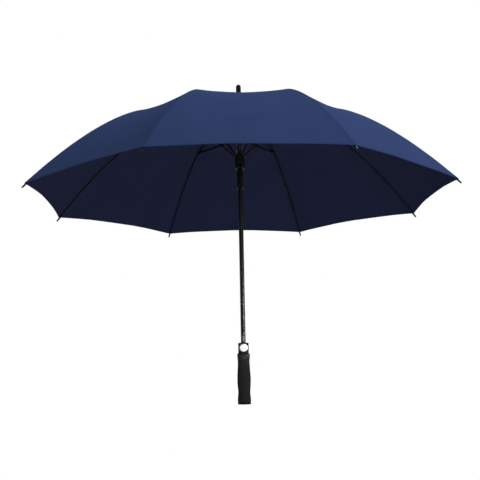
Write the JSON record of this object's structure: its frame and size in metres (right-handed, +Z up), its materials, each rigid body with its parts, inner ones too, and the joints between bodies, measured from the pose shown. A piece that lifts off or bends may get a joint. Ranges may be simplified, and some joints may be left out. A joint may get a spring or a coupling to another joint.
{
  "type": "golf umbrella",
  "caption": "Open push-button golf umbrella: navy cloth canopy on sprung fibreglass ribs, two-collar stretcher linkage, slim black shaft and straight foam grip.",
  "frame": {"origin": "centre of the handle's flat end", "axes": "+Z up the shaft towards the finial, push button and a whole canopy panel facing -Y"},
  "size_m": [1.201, 1.201, 0.973],
  "materials": {
    "navy_cloth": "plain-woven pongee with a soft sheen",
    "black_fibreglass": "gloss black",
    "black_steel": "black electrophoretic coat",
    "black_plastic": "satin black moulding",
    "black_foam": "matt closed-cell foam",
    "bright_metal": "bright plated",
    "spring_steel": "drawn wire"
  },
  "bodies": {
    "shaft": {"shaft_tube": "black_fibreglass", "handle_core": "black_plastic", "handle_grip": "black_foam", "handle_end_cap": "black_plastic", "button_collar": "black_plastic", "crown_notch": "black_plastic", "crown_wire": "spring_steel", "crown_cap": "black_plastic", "finial": "black_plastic", "button_spring": "spring_steel"},
    "inner_rib_1": {"inner_rib_1": "black_fibreglass"},
    "inner_rib_2": {"inner_rib_2": "black_fibreglass"},
    "inner_rib_3": {"inner_rib_3": "black_fibreglass"},
    "inner_rib_4": {"inner_rib_4": "black_fibreglass"},
    "inner_rib_5": {"inner_rib_5": "black_fibreglass"},
    "inner_rib_6": {"inner_rib_6": "black_fibreglass"},
    "inner_rib_7": {"inner_rib_7": "black_fibreglass"},
    "inner_rib_8": {"inner_rib_8": "black_fibreglass"},
    "outer_rib_1": {"outer_rib_1": "black_fibreglass"},
    "stretcher_1": {"stretcher_1": "black_steel"},
    "strut_1": {"strut_1": "black_steel"},
    "canopy_panel_1": {"canopy_panel_1": "navy_cloth"},
    "outer_rib_2": {"outer_rib_2": "black_fibreglass"},
    "stretcher_2": {"stretcher_2": "black_steel"},
    "strut_2": {"strut_2": "black_steel"},
    "canopy_panel_2": {"canopy_panel_2": "navy_cloth"},
    "outer_rib_3": {"outer_rib_3": "black_fibreglass"},
    "stretcher_3": {"stretcher_3": "black_steel"},
    "strut_3": {"strut_3": "black_steel"},
    "canopy_panel_3": {"canopy_panel_3": "navy_cloth"},
    "outer_rib_4": {"outer_rib_4": "black_fibreglass"},
    "stretcher_4": {"stretcher_4": "black_steel"},
    "strut_4": {"strut_4": "black_steel"},
    "canopy_panel_4": {"canopy_panel_4": "navy_cloth"},
    "outer_rib_5": {"outer_rib_5": "black_fibreglass"},
    "stretcher_5": {"stretcher_5": "black_steel"},
    "strut_5": {"strut_5": "black_steel"},
    "canopy_panel_5": {"canopy_panel_5": "navy_cloth"},
    "outer_rib_6": {"outer_rib_6": "black_fibreglass"},
    "stretcher_6": {"stretcher_6": "black_steel"},
    "strut_6": {"strut_6": "black_steel"},
    "canopy_panel_6": {"canopy_panel_6": "navy_cloth"},
    "outer_rib_7": {"outer_rib_7": "black_fibreglass"},
    "stretcher_7": {"stretcher_7": "black_steel"},
    "strut_7": {"strut_7": "black_steel"},
    "canopy_panel_7": {"canopy_panel_7": "navy_cloth"},
    "outer_rib_8": {"outer_rib_8": "black_fibreglass"},
    "stretcher_8": {"stretcher_8": "black_steel"},
    "strut_8": {"strut_8": "black_steel"},
    "canopy_panel_8": {"canopy_panel_8": "navy_cloth"},
    "upper_collar": {"upper_collar": "black_plastic", "collar_wire": "spring_steel", "opening_spring": "spring_steel"},
    "runner": {"runner": "black_plastic"},
    "button": {"button": "bright_metal"},
    "latch_catch": {"latch_catch": "bright_metal"}
  },
  "joints": [
    {"name": "fold", "type": "hinge", "parent": "shaft", "child": "inner_rib_1", "pos_m": [0.00367, -0.00887, 0.88], "axis": [0.9239, 0.3827, 0], "range_deg": [0, 78.81], "stiffness_Nm_per_rad": 1.5, "springref_deg": -91.67, "deforming": ["opening_spring", "canopy_panel_1", "canopy_panel_2", "canopy_panel_3", "canopy_panel_4", "canopy_panel_5", "canopy_panel_6", "canopy_panel_7", "canopy_panel_8"]},
    {"name": "inner_rib_2_fold", "type": "hinge", "parent": "shaft", "child": "inner_rib_2", "pos_m": [0.00887, -0.00367, 0.88], "axis": [0.3827, 0.9239, 0], "range_deg": [0, 79.31]},
    {"name": "inner_rib_3_fold", "type": "hinge", "parent": "shaft", "child": "inner_rib_3", "pos_m": [0.00887, 0.00367, 0.88], "axis": [-0.3827, 0.9239, 0], "range_deg": [0, 79.31]},
    {"name": "inner_rib_4_fold", "type": "hinge", "parent": "shaft", "child": "inner_rib_4", "pos_m": [0.00367, 0.00887, 0.88], "axis": [-0.9239, 0.3827, 0], "range_deg": [0, 79.31]},
    {"name": "inner_rib_5_fold", "type": "hinge", "parent": "shaft", "child": "inner_rib_5", "pos_m": [-0.00367, 0.00887, 0.88], "axis": [-0.9239, -0.3827, 0], "range_deg": [0, 79.31]},
    {"name": "inner_rib_6_fold", "type": "hinge", "parent": "shaft", "child": "inner_rib_6", "pos_m": [-0.00887, 0.00367, 0.88], "axis": [-0.3827, -0.9239, 0], "range_deg": [0, 79.31]},
    {"name": "inner_rib_7_fold", "type": "hinge", "parent": "shaft", "child": "inner_rib_7", "pos_m": [-0.00887, -0.00367, 0.88], "axis": [0.3827, -0.9239, 0], "range_deg": [0, 79.31]},
    {"name": "inner_rib_8_fold", "type": "hinge", "parent": "shaft", "child": "inner_rib_8", "pos_m": [-0.00367, -0.00887, 0.88], "axis": [0.9239, -0.3827, 0], "range_deg": [0, 79.31]},
    {"name": "outer_rib_1_straighten", "type": "hinge", "parent": "inner_rib_1", "child": "outer_rib_1", "pos_m": [0.12503, -0.30185, 0.84], "axis": [0.9239, 0.3827, 0], "range_deg": [-27.17, 0]},
    {"name": "stretcher_1_swing", "type": "hinge", "parent": "inner_rib_1", "child": "stretcher_1", "pos_m": [0.12503, -0.30185, 0.84], "axis": [0.9239, 0.3827, 0], "range_deg": [-158.12, 0]},
    {"name": "strut_1_swing", "type": "hinge", "parent": "stretcher_1", "child": "strut_1", "pos_m": [0.03215, -0.07762, 0.80939], "axis": [0.9239, 0.3827, 0], "range_deg": [0, 32.68]},
    {"name": "canopy_panel_1_furl", "type": "hinge", "parent": "shaft", "child": "canopy_panel_1", "pos_m": [0.00708, -0.01709, 0.8943], "axis": [0.9239, 0.3827, 0], "range_deg": [0, 64.02]},
    {"name": "outer_rib_2_straighten", "type": "hinge", "parent": "inner_rib_2", "child": "outer_rib_2", "pos_m": [0.30185, -0.12503, 0.84], "axis": [0.3827, 0.9239, 0], "range_deg": [-27.17, 0]},
    {"name": "stretcher_2_swing", "type": "hinge", "parent": "inner_rib_2", "child": "stretcher_2", "pos_m": [0.30185, -0.12503, 0.84], "axis": [0.3827, 0.9239, 0], "range_deg": [-158.12, 0]},
    {"name": "strut_2_swing", "type": "hinge", "parent": "stretcher_2", "child": "strut_2", "pos_m": [0.07762, -0.03215, 0.80939], "axis": [0.3827, 0.9239, 0], "range_deg": [0, 32.68]},
    {"name": "canopy_panel_2_furl", "type": "hinge", "parent": "shaft", "child": "canopy_panel_2", "pos_m": [0.01709, -0.00708, 0.8943], "axis": [0.3827, 0.9239, 0], "range_deg": [0, 64.02]},
    {"name": "outer_rib_3_straighten", "type": "hinge", "parent": "inner_rib_3", "child": "outer_rib_3", "pos_m": [0.30185, 0.12503, 0.84], "axis": [-0.3827, 0.9239, 0], "range_deg": [-27.17, 0]},
    {"name": "stretcher_3_swing", "type": "hinge", "parent": "inner_rib_3", "child": "stretcher_3", "pos_m": [0.30185, 0.12503, 0.84], "axis": [-0.3827, 0.9239, 0], "range_deg": [-158.12, 0]},
    {"name": "strut_3_swing", "type": "hinge", "parent": "stretcher_3", "child": "strut_3", "pos_m": [0.07762, 0.03215, 0.80939], "axis": [-0.3827, 0.9239, 0], "range_deg": [0, 32.68]},
    {"name": "canopy_panel_3_furl", "type": "hinge", "parent": "shaft", "child": "canopy_panel_3", "pos_m": [0.01709, 0.00708, 0.8943], "axis": [-0.3827, 0.9239, 0], "range_deg": [0, 64.02]},
    {"name": "outer_rib_4_straighten", "type": "hinge", "parent": "inner_rib_4", "child": "outer_rib_4", "pos_m": [0.12503, 0.30185, 0.84], "axis": [-0.9239, 0.3827, 0], "range_deg": [-27.17, 0]},
    {"name": "stretcher_4_swing", "type": "hinge", "parent": "inner_rib_4", "child": "stretcher_4", "pos_m": [0.12503, 0.30185, 0.84], "axis": [-0.9239, 0.3827, 0], "range_deg": [-158.12, 0]},
    {"name": "strut_4_swing", "type": "hinge", "parent": "stretcher_4", "child": "strut_4", "pos_m": [0.03215, 0.07762, 0.80939], "axis": [-0.9239, 0.3827, 0], "range_deg": [0, 32.68]},
    {"name": "canopy_panel_4_furl", "type": "hinge", "parent": "shaft", "child": "canopy_panel_4", "pos_m": [0.00708, 0.01709, 0.8943], "axis": [-0.9239, 0.3827, 0], "range_deg": [0, 64.02]},
    {"name": "outer_rib_5_straighten", "type": "hinge", "parent": "inner_rib_5", "child": "outer_rib_5", "pos_m": [-0.12503, 0.30185, 0.84], "axis": [-0.9239, -0.3827, 0], "range_deg": [-27.17, 0]},
    {"name": "stretcher_5_swing", "type": "hinge", "parent": "inner_rib_5", "child": "stretcher_5", "pos_m": [-0.12503, 0.30185, 0.84], "axis": [-0.9239, -0.3827, 0], "range_deg": [-158.12, 0]},
    {"name": "strut_5_swing", "type": "hinge", "parent": "stretcher_5", "child": "strut_5", "pos_m": [-0.03215, 0.07762, 0.80939], "axis": [-0.9239, -0.3827, 0], "range_deg": [0, 32.68]},
    {"name": "canopy_panel_5_furl", "type": "hinge", "parent": "shaft", "child": "canopy_panel_5", "pos_m": [-0.00708, 0.01709, 0.8943], "axis": [-0.9239, -0.3827, 0], "range_deg": [0, 64.02]},
    {"name": "outer_rib_6_straighten", "type": "hinge", "parent": "inner_rib_6", "child": "outer_rib_6", "pos_m": [-0.30185, 0.12503, 0.84], "axis": [-0.3827, -0.9239, 0], "range_deg": [-27.17, 0]},
    {"name": "stretcher_6_swing", "type": "hinge", "parent": "inner_rib_6", "child": "stretcher_6", "pos_m": [-0.30185, 0.12503, 0.84], "axis": [-0.3827, -0.9239, 0], "range_deg": [-158.12, 0]},
    {"name": "strut_6_swing", "type": "hinge", "parent": "stretcher_6", "child": "strut_6", "pos_m": [-0.07762, 0.03215, 0.80939], "axis": [-0.3827, -0.9239, 0], "range_deg": [0, 32.68]},
    {"name": "canopy_panel_6_furl", "type": "hinge", "parent": "shaft", "child": "canopy_panel_6", "pos_m": [-0.01709, 0.00708, 0.8943], "axis": [-0.3827, -0.9239, 0], "range_deg": [0, 64.02]},
    {"name": "outer_rib_7_straighten", "type": "hinge", "parent": "inner_rib_7", "child": "outer_rib_7", "pos_m": [-0.30185, -0.12503, 0.84], "axis": [0.3827, -0.9239, 0], "range_deg": [-27.17, 0]},
    {"name": "stretcher_7_swing", "type": "hinge", "parent": "inner_rib_7", "child": "stretcher_7", "pos_m": [-0.30185, -0.12503, 0.84], "axis": [0.3827, -0.9239, 0], "range_deg": [-158.12, 0]},
    {"name": "strut_7_swing", "type": "hinge", "parent": "stretcher_7", "child": "strut_7", "pos_m": [-0.07762, -0.03215, 0.80939], "axis": [0.3827, -0.9239, 0], "range_deg": [0, 32.68]},
    {"name": "canopy_panel_7_furl", "type": "hinge", "parent": "shaft", "child": "canopy_panel_7", "pos_m": [-0.01709, -0.00708, 0.8943], "axis": [0.3827, -0.9239, 0], "range_deg": [0, 64.02]},
    {"name": "outer_rib_8_straighten", "type": "hinge", "parent": "inner_rib_8", "child": "outer_rib_8", "pos_m": [-0.12503, -0.30185, 0.84], "axis": [0.9239, -0.3827, 0], "range_deg": [-27.17, 0]},
    {"name": "stretcher_8_swing", "type": "hinge", "parent": "inner_rib_8", "child": "stretcher_8", "pos_m": [-0.12503, -0.30185, 0.84], "axis": [0.9239, -0.3827, 0], "range_deg": [-158.12, 0]},
    {"name": "strut_8_swing", "type": "hinge", "parent": "stretcher_8", "child": "strut_8", "pos_m": [-0.03215, -0.07762, 0.80939], "axis": [0.9239, -0.3827, 0], "range_deg": [0, 32.68]},
    {"name": "canopy_panel_8_furl", "type": "hinge", "parent": "shaft", "child": "canopy_panel_8", "pos_m": [-0.00708, -0.01709, 0.8943], "axis": [0.9239, -0.3827, 0], "range_deg": [0, 64.02]},
    {"name": "upper_collar_carry", "type": "hinge", "parent": "stretcher_1", "child": "upper_collar", "pos_m": [0.00367, -0.00887, 0.8], "axis": [0.9239, 0.3827, 0], "range_deg": [0, 79.31]},
    {"name": "runner_catch_up", "type": "slide", "parent": "upper_collar", "child": "runner", "axis": [0, 0, 1], "range_m": [0, 0.0354]},
    {"name": "button_press", "type": "slide", "parent": "shaft", "child": "button", "axis": [0, 1, 0], "range_m": [0, 0.0025], "stiffness_N_per_m": 900, "springref_m": -0.002, "deforming": ["button_spring"]},
    {"name": "latch_release", "type": "slide", "parent": "shaft", "child": "latch_catch", "axis": [0, 1, 0], "range_m": [0, 0.0027]}
  ],
  "couplings": [
    {"joint": "inner_rib_2_fold", "follows": "fold", "ratio": 1},
    {"joint": "inner_rib_3_fold", "follows": "fold", "ratio": 1},
    {"joint": "inner_rib_4_fold", "follows": "fold", "ratio": 1},
    {"joint": "inner_rib_5_fold", "follows": "fold", "ratio": 1},
    {"joint": "inner_rib_6_fold", "follows": "fold", "ratio": 1},
    {"joint": "inner_rib_7_fold", "follows": "fold", "ratio": 1},
    {"joint": "inner_rib_8_fold", "follows": "fold", "ratio": 1},
    {"joint": "outer_rib_1_straighten", "follows": "fold", "ratio": -0.33839},
    {"joint": "stretcher_1_swing", "follows": "fold", "ratio": -2},
    {"joint": "strut_1_swing", "follows": "fold", "ratio": 0.40828},
    {"joint": "canopy_panel_1_furl", "follows": "fold", "ratio": 0.80601},
    {"joint": "outer_rib_2_straighten", "follows": "fold", "ratio": -0.33839},
    {"joint": "stretcher_2_swing", "follows": "fold", "ratio": -2},
    {"joint": "strut_2_swing", "follows": "fold", "ratio": 0.40828},
    {"joint": "canopy_panel_2_furl", "follows": "fold", "ratio": 0.80601},
    {"joint": "outer_rib_3_straighten", "follows": "fold", "ratio": -0.33839},
    {"joint": "stretcher_3_swing", "follows": "fold", "ratio": -2},
    {"joint": "strut_3_swing", "follows": "fold", "ratio": 0.40828},
    {"joint": "canopy_panel_3_furl", "follows": "fold", "ratio": 0.80601},
    {"joint": "outer_rib_4_straighten", "follows": "fold", "ratio": -0.33839},
    {"joint": "stretcher_4_swing", "follows": "fold", "ratio": -2},
    {"joint": "strut_4_swing", "follows": "fold", "ratio": 0.40828},
    {"joint": "canopy_panel_4_furl", "follows": "fold", "ratio": 0.80601},
    {"joint": "outer_rib_5_straighten", "follows": "fold", "ratio": -0.33839},
    {"joint": "stretcher_5_swing", "follows": "fold", "ratio": -2},
    {"joint": "strut_5_swing", "follows": "fold", "ratio": 0.40828},
    {"joint": "canopy_panel_5_furl", "follows": "fold", "ratio": 0.80601},
    {"joint": "outer_rib_6_straighten", "follows": "fold", "ratio": -0.33839},
    {"joint": "stretcher_6_swing", "follows": "fold", "ratio": -2},
    {"joint": "strut_6_swing", "follows": "fold", "ratio": 0.40828},
    {"joint": "canopy_panel_6_furl", "follows": "fold", "ratio": 0.80601},
    {"joint": "outer_rib_7_straighten", "follows": "fold", "ratio": -0.33839},
    {"joint": "stretcher_7_swing", "follows": "fold", "ratio": -2},
    {"joint": "strut_7_swing", "follows": "fold", "ratio": 0.40828},
    {"joint": "canopy_panel_7_furl", "follows": "fold", "ratio": 0.80601},
    {"joint": "outer_rib_8_straighten", "follows": "fold", "ratio": -0.33839},
    {"joint": "stretcher_8_swing", "follows": "fold", "ratio": -2},
    {"joint": "strut_8_swing", "follows": "fold", "ratio": 0.40828},
    {"joint": "canopy_panel_8_furl", "follows": "fold", "ratio": 0.80601},
    {"joint": "upper_collar_carry", "follows": "fold", "ratio": 1},
    {"joint": "runner_catch_up", "follows": "fold", "m_per_rad": 0.02537},
    {"joint": "latch_release", "follows": "button_press", "ratio": 1}
  ]
}
